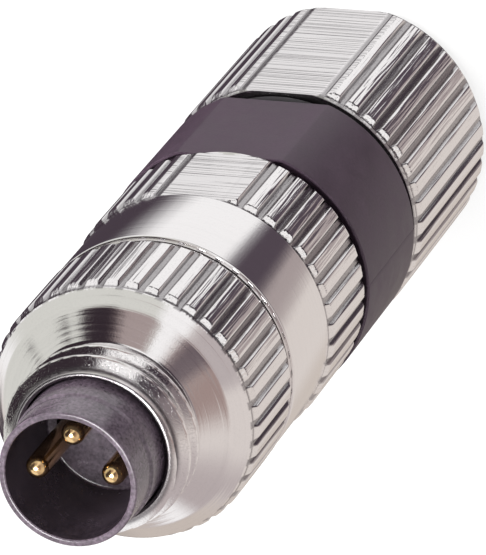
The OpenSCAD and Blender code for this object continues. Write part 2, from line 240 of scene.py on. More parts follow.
class CarrierSizes(bpy.types.PropertyGroup):
    """Contact carrier and pins."""

    carrier: size("Carrier radius", "Radius of the carrier in the housing", 3.1)
    mouth: size("Mouth radius", "Radius of the shroud at its mouth", 3.0)
    socket: size("Socket radius", "Inner radius of the shroud", 2.7)
    step: size("Step", "Distance from the mouth to the small step outside", 1.65)
    depth: size("Socket depth", "Depth of the socket", 5.0)
    flange: size("Flange radius", "Radius of the hidden flange", 4.1)
    flange_t: size("Flange thickness", "Thickness of the hidden flange", 1.6)
    lip: size("Lip rounding", "Rounding of the mouth, which the other edges follow", 0.1)
    pin: size("Pin radius", "Radius of a contact pin", 0.5)
    # The bright tip is the length that painted shade leaves alone
    bright: size("Bright tip", "Length of the pin's bright tip", 0.6)
    shank: size("Shank radius", "Radius of the pin in the carrier", 0.67)
    collar: size("Collar radius", "Radius of the pin's collar", 0.87)
    collar_h: size("Collar height", "Height of the pin's collar", 0.8)
    tail: size("Tail radius", "Radius of the pin's tail", 0.3)


class FinishColours(bpy.types.PropertyGroup):
    """Colours of the finishes."""

    nickel: colour("Nickel", "Bright nickel plate", "#f1eeee")
    # Dark nickel towards which painted shade turns the plate in the thread, the slots and the gaps
    shaded_nickel: colour("Shaded nickel", "Nickel in the thread and the slots", "#453c44")
    plastic: colour("Black plastic", "Moulded black polyamide", "#3e2f3c")
    carrier: colour("Carrier plastic", "Moulded dark grey polyester", "#50454f")
    gold: colour("Gold", "Thin gold plate", "#f0cd98")
    tin: colour("Tin", "Tinned bronze", "#c9c9cc")
    steel: colour("Spring steel", "Bright spring wire", "#b9b9bb")
    rubber: colour("Rubber", "Black sealing rubber", "#1e1b1f")
    nylon: colour("Natural polyamide", "Uncoloured polyamide", "#ddd6c6")
    floor: colour("Floor", "Pale studio floor", "#f6f5f4")


class StageSizes(bpy.types.PropertyGroup):
    """Camera and floor."""

    tilt: turn("Tilt", "Angle between the axis of the part and the line of sight", 30.29)
    side: turn("Side", "Side of the part that faces the camera, round the axis", 51.5)
    roll: turn("Roll", "Turn of the picture about the line of sight", -140.7)
    lens: FloatProperty(
        name="Lens", description="Focal length on a 36 mm frame", default=454.05, unit="CAMERA"
    )
    distance: size("Distance", "Distance from the camera to its aim", 284.57)
    aim: FloatVectorProperty(
        name="Aim",
        description="Point that lies in the middle of the picture",
        default=(6.102 * MM, 7.173 * MM, 33.302 * MM),
        unit="LENGTH",
        precision=5,
    )
    floor: size("Floor size", "Half the width of the floor", 900)


class ConnectorSettings(bpy.types.PropertyGroup):
    """All settings of the connector."""

    teeth: PointerProperty(type=ToothSizes)
    screw: PointerProperty(type=ScrewSizes)
    housing: PointerProperty(type=HousingSizes)
    body: PointerProperty(type=BodySizes)
    nut: PointerProperty(type=NutSizes)
    carrier: PointerProperty(type=CarrierSizes)
    finish: PointerProperty(type=FinishColours)
    stage: PointerProperty(type=StageSizes)


# Fields and sections


def soft_min(a, b, blend):
    """Smaller of two fields, rounded where they cross: half of their sum less the softened gap."""
    return 0.5 * (a + b - np.sqrt((a - b) ** 2 + blend**2))


def soft_max(a, b, blend):
    """Larger of two fields, rounded where they cross."""
    return -soft_min(-a, -b, blend)


def smooth_step(x):
    """Cubic that rises from 0 to 1 between 0 and 1."""
    x = np.clip(x, 0, 1)
    return x * x * (3 - 2 * x)


def rounded(points, fillets, steps):
    """Open section with each inner corner turned into a quadratic curve of some steps.

    A curve leaves the two edges at the fillet length, or at under half of the shorter edge, and
    bends round the corner point: its weights are (1-t)^2, 2t(1-t) and t^2.
    """
    points = np.asarray(points, float)
    corner = points[1:-1]
    back = points[:-2] - corner
    ahead = points[2:] - corner
    back_len = np.linalg.norm(back, axis=1)
    ahead_len = np.linalg.norm(ahead, axis=1)
    longest_cut = 0.45 * np.minimum(back_len, ahead_len)
    cut = np.minimum(fillets, longest_cut)
    start = corner + back * (cut / back_len)[:, None]
    end = corner + ahead * (cut / ahead_len)[:, None]
    t = np.linspace(0, 1, steps + 1)[None, :, None]
    bent = (1 - t) ** 2 * start[:, None] + 2 * t * (1 - t) * corner[:, None] + t**2 * end[:, None]
    return np.concatenate([points[:1], bent.reshape(-1, 2), points[-1:]])


def even_angles(count):
    """Evenly spread angles once round the axis."""
    return np.arange(count) * 2 * np.pi / count


def slot_shares(tooth):
    """Half of a slot's width at its floor and at the crests, as shares of the pitch."""
    return tooth.floor / 2, (1 - tooth.crest) / 2


def knurl_angles(part, tooth):
    """Columns of a knurl: in each pitch the same stations, close together at the tooth edges."""
    foot, crest = slot_shares(tooth)
    half = np.concatenate([[0], foot + (crest - foot) * FLANK_COLUMNS])
    stations = np.concatenate([half, [0.5], 1 - half[:0:-1]])
    angles = (np.arange(part.teeth)[:, None] + stations) * 2 * np.pi / part.teeth + part.slot_turn
    return np.sort(np.mod(angles.ravel(), 2 * np.pi))


def with_flat_edges(angles, radius, across):
    """Adds columns at and beside the lines where two flats leave a radius."""
    half = math.acos(across / 2 / radius)
    beside = np.outer((-1, 1), half + FLAT_COLUMNS).ravel()
    return np.sort(np.concatenate([angles, np.pi / 2 + beside, 3 * np.pi / 2 + beside]))


def knurl_field(angles, heights, part, tooth, ends):
    """Radius of a straight knurl, and how rough and how darkened by painted shade each point is, from 0 to
    1.

    Round the axis the radius is a clipped triangle wave between root and tip, with rounded
    crests. At each end a cone cuts the teeth down to the root. Deep in the slots and in the
    corner at the foot of that cone the plate is rougher, and painted shade darkens its colour.
    """
    root = part.tip - tooth.depth
    phase = np.abs(np.mod((angles - part.slot_turn) * part.teeth / (2 * np.pi) + 0.5, 1) - 0.5)
    foot, crest = slot_shares(tooth)
    flank = root + tooth.depth * (phase - foot) / (crest - foot)
    wave = soft_max(soft_min(flank, part.tip, tooth.crest_round), root, tooth.edge)[None]
    low, high = ends
    rise = np.minimum(heights - low, high - heights)[:, None]
    cone = root + tooth.depth / tooth.bevel * rise
    radius = soft_max(soft_min(wave, cone, tooth.edge), root, 0.5 * tooth.edge)
    slot = smooth_step((part.tip - wave) / (DULL_AND_SHADE_DEPTH * tooth.depth))
    corner = smooth_step(1 - rise / END_CORNER) * smooth_step(1 + rise / RIM_CORNER)
    return radius, np.maximum(SLOT_DULL_AND_SHADE * slot, END_DULL_AND_SHADE * corner)


def flat_field(angles, across):
    """Radius of two parallel planes across Y: half the width over the sine of the angle, kept finite."""
    least_sine = 1e-3
    return (across / 2 / np.maximum(np.abs(np.sin(angles)), least_sine))[None]


def thread_field(angles, heights, crest, root, pitch, start):
    """Radius of a right-hand thread, and how near each point lies to the groove's corners.

    The radius is a trapezoid wave of the height less the helix's own climb. The nearness is 1
    where a flank meets the root and falls off as a bell on both sides.
    """
    turns = (heights[:, None] - start) / pitch - angles[None] / (2 * np.pi)
    away = pitch * np.abs(np.mod(turns + 0.5, 1) - 0.5)
    flank = crest - (away - THREAD_CREST / 2) / math.tan(THREAD_FLANK)
    radius = soft_max(soft_min(flank, crest, THREAD_ROUND), root, THREAD_ROUND)
    return radius, np.exp(-(((flank - root) / THREAD_CORNER) ** 2))


def knurl_rows(low, high, tooth, end_rows=14, middle_rows=3):
    """Heights along a knurl, close together over the rims and the bevelled ends."""
    reach = 1.25 * (tooth.rim + tooth.bevel)
    end = np.linspace(0, reach, end_rows)
    middle = np.linspace(low + 2 * reach, high - 2 * reach, middle_rows)
    return np.concatenate([low + end, middle, high - end[::-1]])


# Strips: the radii of some rows at each angle, their heights, and the layers that the finish reads


def plain_strip(section, angles, **layers):
    """Strip of plain circles through the points of a section."""
    section = np.asarray(section, float)
    return np.repeat(section[:, :1], len(angles), 1), section[:, 1], layers


def tooth_layers(dull, milled=0.0):
    """Layers of a knurl: slots and tooth ends rougher, grainy and darkened by painted shade, drag lines on
    the crests and cutter marks on the flats.
    """
    knurled = 1 - milled
    return {
        "tool_marks": milled,
        "dull": dull * knurled,
        "grain": np.maximum(SLOT_GRAIN * dull, CREST_GRAIN) * knurled,
        "drag_lines": (1 - dull) * knurled,
    }


def flatted_knurl(angles, heights, part, tooth, ends):
    """Strip of a knurl that two milled flats cut: the smaller of the two fields."""
    knurl, dull = knurl_field(angles, heights, part, tooth, ends)
    flat = flat_field(angles, tooth.flats)
    milled = smooth_step((knurl - flat) / HAIR)
    return soft_min(knurl, flat, HAIR), heights, tooth_layers(dull, milled)


def revolved(angles, *strips):
    """Grid of a surface round the axis, whose strips follow one another, and its layers.

    A point lies at its radius times the cosine and the sine of its angle, at its height. A layer
    that a strip doesn't name is 0 there.
    """
    radius = np.concatenate([radii for radii, _, _ in strips])
    height = np.concatenate([heights for _, heights, _ in strips])[:, None] + 0 * radius
    names = {name for _, _, layers in strips for name in layers}
    joined = {
        name: np.concatenate([layers.get(name, 0) + 0 * radii for radii, _, layers in strips])
        for name in sorted(names)
    }
    return np.stack([radius * np.cos(angles), radius * np.sin(angles), height], -1), joined


# Meshes


def surface_object(name, grid, layers, closed_section):
    """Mesh from a grid of points: rows along the section, columns round the axis.

    The columns always close on themselves. A closed section also joins its last row to its
    first. An open one starts and ends on the axis, where each end row becomes one point.
    The layers hold a value for each grid point, which the finish reads by name.
    """
    rows, cols = grid.shape[:2]
    index = np.arange(rows * cols).reshape(rows, cols)
    right = np.roll(index, -1, 1)
    if closed_section:
        up, up_right = np.roll(index, -1, 0), np.roll(right, -1, 0)
        points = grid.reshape(-1, 3)
        faces = np.stack([index, right, up_right, up], -1).reshape(-1, 4).tolist()
    else:
        inner = index - cols + 1
        points = np.concatenate([grid[0, :1], grid[1:-1].reshape(-1, 3), grid[-1, :1]])
        inner_right = np.roll(inner, -1, 1)
        quads = np.stack([inner[1:-2], inner_right[1:-2], inner_right[2:-1], inner[2:-1]], -1)
        bottom = np.stack([np.zeros(cols, int), inner_right[1], inner[1]], -1)
        top = np.stack([inner[-2], inner_right[-2], np.full(cols, len(points) - 1)], -1)
        faces = quads.reshape(-1, 4).tolist() + bottom.tolist() + top.tolist()
    mesh = bpy.data.meshes.new(name)
    mesh.from_pydata(points, [], faces)
    mesh.shade_smooth()
    mesh.set_sharp_from_angle(angle=SHARP_EDGE)
    for layer_name, values in layers.items():
        if not closed_section:
            values = np.concatenate([values[0, :1], values[1:-1].ravel(), values[-1, :1]])
        layer = mesh.attributes.new(layer_name, "FLOAT", "POINT")
        layer.data.foreach_set("value", np.ascontiguousarray(values, dtype=np.float32).ravel())
    piece = bpy.data.objects.new(name, mesh)
    bpy.context.scene.collection.objects.link(piece)
    return piece


def make_piece(name, surface, finish, body, node, closed_section=True):
    """Makes a piece from its grid and layers, hangs it on a body and lets it stand for a CAD node."""
    piece = surface_object(name, *surface, closed_section)
    piece.data.materials.append(finish)
    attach(piece, body)
    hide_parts(node)


# Finishes

# Range that most of a noise lies in, and the setting for a soft step
NOISE_RANGE = {"From Min": 0.3, "From Max": 0.7}
SOFT_STEP = {"interpolation_type": "SMOOTHSTEP"}


def add_node(tree, kind, values=None, links=None, **settings):
    """Adds one shader node with its settings, socket values and incoming links.

    A link comes from a socket, or from the first output of a node.
    """
    node = tree.nodes.new("ShaderNode" + kind)
    for field, value in settings.items():
        setattr(node, field, value)
    for socket, value in (values or {}).items():
        node.inputs[socket].default_value = value
    for socket, source in (links or {}).items():
        output = source.outputs[0] if isinstance(source, bpy.types.Node) else source
        tree.links.new(output, node.inputs[socket])
    return node


def new_material(name):
    """An empty node material and its tree, or the material that already has this name and None."""
    old = bpy.data.materials.get(name)
    if old:
        return old, None
    material = bpy.data.materials.new(name)
    material.use_nodes = True
    material.node_tree.nodes.clear()
    return material, material.node_tree


def bright_nickel(finish):
    """Bright nickel over turned and milled brass.

    The plate mirrors the studio in near-white greys. Cutter marks show through it as fine lines
    across the flats and as rings on the turned faces, and drag lines run along the teeth.
    Thread, slots, tooth ends and the gaps beside them are rougher and grainy, and painted shade darkens
    them.
    """
    material, tree = new_material("bright_nickel_on_turned_brass")
    if tree is None:
        return material
    add = partial(add_node, tree)
    where = add("TexCoord").outputs["Object"]
    marks, dull, grainy, drag = (
        add("Attribute", attribute_name=layer).outputs["Fac"]
        for layer in ("tool_marks", "dull", "grain", "drag_lines")
    )
    # Depth of grain and drag lines, where a cutter mark has 1
    grain_depth = 0.3
    drag_depth = 3.0
    # How far cutter marks darken the plate, as painted shade in their grooves, and how far grain does, and
    # what the rougher, shaded places add to the roughness
    mark_shade = 0.12
    grain_shade = 0.2
    dull_roughness = 0.2
    # Cutter marks about 0.13 mm apart run round the axis, so the pattern is drawn out across it.
    across = add("VectorMath", {1: (0.01, 0.01, 1)}, {0: where}, operation="MULTIPLY")
    cutter = add("TexNoise", {"Scale": 1 / (0.13 * MM), "Detail": 1.0}, {"Vector": across})
    # Grain of thread and slots, grit of about 0.08 mm
    grit = add("TexNoise", {"Scale": 1 / (0.08 * MM), "Detail": 2.0}, {"Vector": where})
    groove, speck = (
        add("MapRange", {"From Min": low, "From Max": high}, {"Value": noise}, **SOFT_STEP)
        for noise, low, high in ((cutter, 0.52, 0.38), (grit, 0.5, 0.65))
    )
    # Drag lines along the teeth, drawn 0.12 mm apart, coarser than real ones, so that they show
    along = add("VectorMath", {1: (1, 1, 0.04)}, {0: where}, operation="MULTIPLY")
    streak = add("TexNoise", {"Scale": 1 / (0.12 * MM), "Detail": 1.0}, {"Vector": along})
    marked, pitted, dragged = (
        add("Math", links={0: pattern, 1: layer}, operation="MULTIPLY")
        for pattern, layer in ((groove, marks), (speck, grainy), (streak, drag))
    )
    scored = add("Math", {1: grain_depth}, {0: pitted, 2: marked}, operation="MULTIPLY_ADD")
    worked = add("Math", {1: drag_depth}, {0: dragged, 2: scored}, operation="MULTIPLY_ADD")
    relief = add("Math", {0: 1.0}, {1: worked}, operation="SUBTRACT")
    bump = add("Bump", {"Distance": 0.01 * MM}, {"Height": relief})
    # Faint unevenness of the plate, patches about 1.5 mm wide
    cloud = add("TexNoise", {"Scale": 1 / (1.5 * MM), "Detail": 3.0}, {"Vector": where})
    gloss = add("MapRange", {**NOISE_RANGE, "To Min": 0.07, "To Max": 0.12}, {"Value": cloud})
    rough = add("Math", {1: dull_roughness}, {0: dull, 2: gloss}, operation="MULTIPLY_ADD")
    lined = add("Math", {1: mark_shade}, {0: marked, 2: dull}, operation="MULTIPLY_ADD")
    shaded = add("Math", {1: grain_shade}, {0: pitted, 2: lined}, operation="MULTIPLY_ADD", use_clamp=True)
    # Painted shade: the colour turns towards dark nickel where the shade layer is high and along the cutter
    # marks; the grain darkens it too
    tint = add("Mix", {"A": finish.nickel, "B": finish.shaded_nickel}, {"Factor": shaded}, data_type="RGBA")
    shader = add(
        "BsdfPrincipled",
        {"Metallic": 1.0},
        {"Base Color": tint.outputs["Result"], "Roughness": rough, "Normal": bump},
    )
    add("OutputMaterial", links={"Surface": shader})
    return material


def moulded_plastic(name, tone, roughness, grain, mottling=0.15, speckle=0.1, specular=0.5, socket_wall_shade=None):
    """Moulded plastic or rubber with the fine, uneven skin that the mould leaves.

    Clouds and a fine speckle change the colour, clouds change the gloss, and the same speckle
    breaks the highlights. Given a wall shade, painted shade darkens the colour to that share of
    itself on the socket wall, which stands deep in the shroud.
    """
    material, tree = new_material(name)
    if tree is None:
        return material
    add = partial(add_node, tree)
    where = add("TexCoord").outputs["Object"]
    # Clouds about 1.2 mm wide
    mottle = add("TexNoise", {"Scale": 1 / (1.2 * MM), "Detail": 4.0, "Roughness": 0.6}, {"Vector": where})
    skin = add("TexNoise", {"Scale": 1 / grain, "Detail": 2.0}, {"Vector": where})
    clouds, specks, gloss = (
        add("MapRange", {**NOISE_RANGE, "To Min": low, "To Max": high}, {"Value": noise})
        for noise, low, high in (
            (mottle, 1 - mottling, 1 + mottling),
            (skin, 1 - speckle, 1 + speckle),
            (mottle, roughness - 0.05, roughness + 0.07),
        )
    )
    shade = add("Math", links={0: clouds, 1: specks}, operation="MULTIPLY")
    # Painted shade on the socket wall
    if socket_wall_shade is not None:
        polish = add("Attribute", attribute_name="polish").outputs["Fac"]
        depth = add("MapRange", {"To Min": 1.0, "To Max": socket_wall_shade}, {"Value": polish})
        shade = add("Math", links={0: shade, 1: depth}, operation="MULTIPLY")
    tint = add("VectorMath", {0: tone[:3]}, {3: shade}, operation="SCALE")
    bump = add("Bump", {"Distance": 0.01 * MM, "Strength": 0.35}, {"Height": skin})
    shader = add(
        "BsdfPrincipled",
        {"IOR": 1.53, "Specular IOR Level": specular},
        {"Base Color": tint, "Roughness": gloss, "Normal": bump},
    )
    add("OutputMaterial", links={"Surface": shader})
    return material


def plated_metal(name, tone, roughness, painted_shade_share=None):
    """Thin bright plate or drawn wire: a mirror with slight clouding.

    Given a shade share, painted shade darkens the colour to that share of itself where the shade layer is 1.
    """
    material, tree = new_material(name)
    if tree is None:
        return material
    add = partial(add_node, tree)
    where = add("TexCoord").outputs["Object"]
    # Clouds about 0.4 mm wide
    cloud = add("TexNoise", {"Scale": 1 / (0.4 * MM), "Detail": 3.0}, {"Vector": where})
    gloss_range = {**NOISE_RANGE, "To Min": roughness - 0.04, "To Max": roughness + 0.06}
    links = {
        "Roughness": add("MapRange", gloss_range, {"Value": cloud}),
        "Normal": add("Bump", {"Distance": 0.004 * MM, "Strength": 0.3}, {"Height": cloud}),
    }
    # Painted shade down the shafts
    if painted_shade_share is not None:
        dull = add("Attribute", attribute_name="dull").outputs["Fac"]
        depth = add("MapRange", {"To Min": 1.0, "To Max": painted_shade_share}, {"Value": dull})
        links["Base Color"] = add("VectorMath", {0: tone[:3]}, {3: depth}, operation="SCALE")
    shader = add("BsdfPrincipled", {"Metallic": 1.0, "Base Color": tone}, links)
    add("OutputMaterial", links={"Surface": shader})
    return material


def black_polyamide(finish):
    """Black glass-filled polyamide: satin, slightly violet grey in the light."""
    return moulded_plastic(
        "moulded_black_polyamide", finish.plastic, roughness=0.45, grain=0.12 * MM, specular=0.3
    )


def carrier_polyester(finish):
    """Dark glass-filled polyester: a little lighter and glossier, with a cloudy skin."""
    return moulded_plastic(
        "moulded_dark_polyester",
        finish.carrier,
        roughness=0.22,
        grain=0.14 * MM,
        mottling=0.3,
        speckle=0.4,
        specular=0.8,
        # The socket wall falls to this share of the colour as painted shade
        socket_wall_shade=0.4,
    )


def black_rubber(finish):
    """Moulded nitrile rubber: dull and dark."""
    return moulded_plastic("moulded_black_rubber", finish.rubber, roughness=0.6, grain=0.15 * MM)


def natural_polyamide(finish):
    """Uncoloured polyamide: milky and satin."""
    return moulded_plastic("uncoloured_polyamide", finish.nylon, roughness=0.4, grain=0.2 * MM)


def thin_gold(finish):
    """Thin gold over brass: warm and bright at the tips, darkened down the shafts by painted shade."""
    return plated_metal("thin_gold_on_brass", finish.gold, roughness=0.16, painted_shade_share=0.16)


# Pieces


def contact_carrier_surface(sizes):
    """Turned section of the moulded carrier: flange, shroud with its step, mouth and socket floor.

    The wall of the socket, down to the corner at its floor, is marked for painted shade.
    """
    floor = MOUTH_FRONT - sizes.depth
    step = MOUTH_FRONT - sizes.step
    fillets = sizes.lip * np.array([1, 1, 0.5, 0.4, 0.4, 1, 1, 1.2])
    section = rounded(
        [
            (0, FLANGE_BACK),
            (sizes.flange, FLANGE_BACK),
            (sizes.flange, FLANGE_BACK + sizes.flange_t),
            (sizes.carrier, FLANGE_BACK + sizes.flange_t),
            (sizes.carrier, step - (sizes.carrier - sizes.mouth)),
            (sizes.mouth, step),
            (sizes.mouth, MOUTH_FRONT),
            (sizes.socket, MOUTH_FRONT),
            (sizes.socket, floor),
            (0, floor),
        ],
        fillets,
        steps=6,
    )
    wall = (section[:, 0] < sizes.socket + HAIR) & (section[:, 1] > floor + sizes.lip)
    angles = even_angles(count=192)
    return revolved(angles, plain_strip(section, angles, polish=wall[:, None]))


def contact_pin_surface(sizes, centre):
    """Turned section of one pin: tail, collar, shank, pin and a round tip, set off the axis.

    The tip is bright, and behind it painted shade darkens the plate over the length of a pin's radius.
    """
    floor = MOUTH_FRONT - sizes.depth
    fillets = np.array([0.05, 0.03, 0.05, 0.05, 0.03, 0.03]) * MM
    arc = np.linspace(0, np.pi / 2, num=16)
    tip = np.stack([sizes.pin * np.cos(arc), PIN_FRONT - sizes.pin + sizes.pin * np.sin(arc)], -1)
    body = rounded(
        [
            (0, PIN_BACK),
            (sizes.tail, PIN_BACK),
            (sizes.tail, FLANGE_BACK),
            (sizes.collar, FLANGE_BACK),
            (sizes.collar, FLANGE_BACK + sizes.collar_h),
            (sizes.shank, FLANGE_BACK + sizes.collar_h),
            (sizes.shank, floor),
            (sizes.pin, floor),
        ],
        fillets,
        steps=3,
    )
    section = np.concatenate([body, tip])
    shaft = smooth_step((PIN_FRONT - sizes.bright - section[:, 1:]) / sizes.pin)
    angles = even_angles(count=48)
    grid, layers = revolved(angles, plain_strip(section, angles, dull=shaft))
    return grid + np.array([*centre, 0]), layers


def coupling_screw_surface(screw, tooth):
    """Knurled ring, two-cone face, helical thread and stepped bore as one closed section.

    Rows up the knurl take their radius from the knurl field and rows up the thread from the
    thread field, which a cone cuts at each end; all other rows are plain circles.
    """
    root = screw.tip - tooth.depth
    knurl_top = SCREW_BACK + screw.knurl_len
    face_top = knurl_top + screw.face_h
    groove_r = screw.pivot + screw.groove
    angles = knurl_angles(screw, tooth)
    back = [(screw.pivot, SCREW_BACK), (root - tooth.rim_edge, SCREW_BACK)]
    knurl_z = knurl_rows(SCREW_BACK + tooth.rim_edge, knurl_top, tooth)
    knurl_ends = (SCREW_BACK + tooth.rim, knurl_top - tooth.rim)
    knurl, slot = knurl_field(angles, knurl_z, screw, tooth, knurl_ends)
    # Rows on each of the two cones, as shares of the way up
    rise = np.array([0.1, 0.5, 0.9, 1])[:, None]
    rim = np.array([root, knurl_top])
    ring = np.array([screw.face_break, knurl_top + screw.break_h])
    foot = np.array([screw.face_foot, face_top])
    cones = np.concatenate([rim + (ring - rim) * rise, ring + (foot - ring) * rise])
    thread_z = np.linspace(face_top + 0.5 * screw.relief, THREAD_FRONT, THREAD_ROWS)
    crest_z = THREAD_FRONT - screw.first_crest - screw.pitch * screw.thread_turn / (2 * math.pi)
    thread, corner = thread_field(angles, thread_z, screw.crest, screw.root, screw.pitch, crest_z)
    lead = (screw.end_face + screw.lead * (THREAD_FRONT - thread_z))[:, None]
    relief = (screw.root + screw.run_out * np.maximum(thread_z - face_top - screw.relief, 0))[:, None]
    thread = soft_min(soft_min(thread, lead, tooth.edge), relief, tooth.edge)
    # Painted shade, with more roughness, in the corners of the thread's groove and at its front end
    thread_end = END_DULL_AND_SHADE * smooth_step(1 - (THREAD_FRONT - thread_z) / END_CORNER)[:, None]
    thread_dull_and_shade = np.maximum(THREAD_DULL_AND_SHADE * corner, thread_end)
    mouth = [(screw.bore + screw.flare, THREAD_FRONT), (screw.bore, THREAD_FRONT - screw.flare)]
    bore = [
        (screw.bore, PIVOT_FRONT + screw.play),
        (screw.pivot, PIVOT_FRONT + screw.play),
        (screw.pivot, SNAP_FRONT + screw.play),
        (groove_r, SNAP_FRONT + screw.play),
        (groove_r, SNAP_BACK - screw.play),
        (screw.pivot, SNAP_BACK - screw.play),
    ]
    return revolved(
        angles,
        plain_strip(back, angles),
        (knurl, knurl_z, tooth_layers(slot)),
        plain_strip(cones, angles, tool_marks=CONE_MARKS, grain=FACE_GRAIN),
        (thread, thread_z, {"dull": thread_dull_and_shade, "grain": THREAD_GRAIN}),
        # Painted shade, with more roughness, on the mouth's flare beside the shroud
        plain_strip(mouth, angles, dull=END_DULL_AND_SHADE),
        plain_strip(bore, angles),
    )


def front_housing_surface(housing, tooth):
    """Knurled grip with two flats, smooth band, pivot neck and stepped bore as one closed section."""
    root = housing.tip - tooth.depth
    grip_top = GRIP_BACK + housing.grip_len
    band_top = SCREW_BACK - housing.band_gap
    shoulder = FLANGE_BACK + housing.flange_t
    lip = housing.band_round
    corner = 0.05 * MM
    fillets = [lip, lip, corner, 5 * corner, corner, corner, corner, corner]
    angles = with_flat_edges(knurl_angles(housing, tooth), housing.tip, tooth.flats)
    back = [(housing.spigot_bore, GRIP_BACK), (root - tooth.rim_edge, GRIP_BACK)]
    knurl_z = knurl_rows(GRIP_BACK + tooth.rim_edge, grip_top, tooth)
    band = rounded(
        [
            (housing.band - 1.5 * lip, grip_top),
            (housing.band, grip_top),
            (housing.band, band_top),
            (housing.pivot, band_top),
            (housing.pivot, PIVOT_FRONT),
            (housing.carrier_bore, PIVOT_FRONT),
            (housing.carrier_bore, shoulder),
            (housing.flange_bore, shoulder),
            (housing.flange_bore, SPIGOT_FRONT),
            (housing.spigot_bore, SPIGOT_FRONT),
        ],
        fillets,
        steps=5,
    )
    return revolved(
        angles,
        plain_strip(back, angles),
        flatted_knurl(angles, knurl_z, housing, tooth, (GRIP_BACK + tooth.rim, grip_top)),
        plain_strip(band, angles, tool_marks=BAND_MARKS, grain=FACE_GRAIN),
    )


def splice_body_surface(body):
    """Neck with a helical thread, ring with two flats and a recessed front, and front spigot.

    A cone starts the thread and a smooth step ends it in a plain neck. The parting line is a
    groove on both sides of the ring, whose depth falls off as a bell round the axis.
    """
    clear = 0.02 * MM
    start_round = 0.05 * MM
    thread_end = 0.2 * MM
    flat_round = 0.03 * MM
    fillets = np.array([0.125, 0.075, 0.025, 0.025]) * MM
    parting = np.radians([0, 180])
    parting_width = np.radians(0.3)
    angles = with_flat_edges(even_angles(count=360), body.ring, body.flats)
    angles = np.sort(np.concatenate([angles, (parting[:, None] + PARTING_COLUMNS).ravel()]))
    neck_z = np.linspace(NECK_BACK + clear, RING_BACK - clear, NECK_ROWS)
    neck = thread_field(angles, neck_z, body.neck, body.neck_root, body.pitch, NECK_BACK)[0]
    start_cone = (body.neck_root + (neck_z - NECK_BACK))[:, None]
    neck = soft_min(neck, start_cone, start_round)
    plain = smooth_step((neck_z - (RING_BACK - body.plain)) / thread_end)[:, None]
    neck = neck * (1 - plain) + body.neck * plain
    ring = rounded(
        [
            (body.neck, RING_BACK),
            (body.ring, RING_BACK),
            (body.ring, GRIP_BACK),
            (body.ring - body.lip, GRIP_BACK),
            (body.ring - body.lip, GRIP_BACK - body.recess),
            (body.spigot, GRIP_BACK - body.recess),
        ],
        fillets,
        steps=6,
    )
    ring_r, ring_z, _ = plain_strip(ring, angles)
    inset = np.maximum(body.ring - ring_r, 0)
    ring_r = soft_min(ring_r, flat_field(angles, body.flats) - inset, flat_round)
    line = np.min(np.abs(np.mod(angles[:, None] - parting + np.pi, 2 * np.pi) - np.pi), 1)
    ring_r -= body.parting * np.exp(-((line / parting_width) ** 2))
    inside = [
        (body.spigot, SPIGOT_FRONT),
        (body.bore, SPIGOT_FRONT),
        (body.bore, NECK_BACK),
        (body.neck_root, NECK_BACK),
    ]
    return revolved(angles, (neck, neck_z, {}), (ring_r, ring_z, {}), plain_strip(inside, angles))


def clamp_nut_surface(nut, tooth):
    """Knurled nut with two flats, cable hole, conical seat and thread bore as one closed section."""
    root = nut.tip - tooth.depth
    corner = 0.05 * MM
    seat_back = NUT_BACK + nut.wall
    seat_front = seat_back + nut.seat
    angles = with_flat_edges(knurl_angles(nut, tooth), nut.tip, tooth.flats)
    back = [
        (nut.hole, NUT_BACK + nut.flare),
        (nut.hole + nut.flare, NUT_BACK),
        (tooth.flats / 2 - tooth.rim_edge, NUT_BACK),
        (root - tooth.rim_edge, NUT_BACK),
    ]
    knurl_z = knurl_rows(NUT_BACK + tooth.rim_edge, NUT_FRONT - tooth.rim_edge, tooth)
    knurl_ends = (NUT_BACK + tooth.rim, NUT_FRONT - tooth.rim)
    inside = rounded(
        [
            (root - tooth.rim_edge, NUT_FRONT),
            (nut.bore + nut.bore_edge, NUT_FRONT),
            (nut.bore, NUT_FRONT - nut.bore_edge),
            (nut.bore, seat_front),
            (nut.seat_large, seat_front),
            (nut.seat_small, seat_back),
            (nut.hole, seat_back),
            (nut.hole, NUT_BACK + nut.flare),
        ],
        corner,
        steps=3,
    )
    flat = flat_field(angles, tooth.flats)
    back_r, back_z, _ = plain_strip(back, angles)
    inside_r, inside_z, _ = plain_strip(inside, angles)
    return revolved(
        angles,
        (soft_min(back_r, flat, tooth.edge), back_z, {}),
        flatted_knurl(angles, knurl_z, nut, tooth, knurl_ends),
        # Painted shade, with more roughness and grain, on the inside of the nut and its front face in the
        # gap before the ring
        (soft_min(inside_r, flat, tooth.edge), inside_z, {"dull": END_DULL_AND_SHADE, "grain": SLOT_GRAIN * END_DULL_AND_SHADE}),
    )


def round_ring_surface(node):
    """Torus that fills the box of a sealing ring's node: a circle carried round the axis."""
    low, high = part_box(node)
    wire = (high[2] - low[2]) / 2
    middle = (high[0] - low[0]) / 2 - wire
    around = even_angles(count=32)
    section = np.stack([middle + wire * np.cos(around), (high[2] + low[2]) / 2 + wire * np.sin(around)], -1)
    angles = even_angles(count=128)
    return revolved(angles, plain_strip(section, angles))


# Operators


class MakeContactCarrier(bpy.types.Operator):
    """Moulded contact carrier with its shroud"""

    bl_idname = "connector.contact_carrier"
    bl_label = "Contact carrier"

    def execute(self, context):
        settings = context.scene.connector
        surface = contact_carrier_surface(settings.carrier)
        finish = carrier_polyester(settings.finish)
        make_piece(
            "carrier_shroud",
            surface,
            finish,
            "housing",
            "contact_carrier",
            closed_section=False,
        )
        return {"FINISHED"}


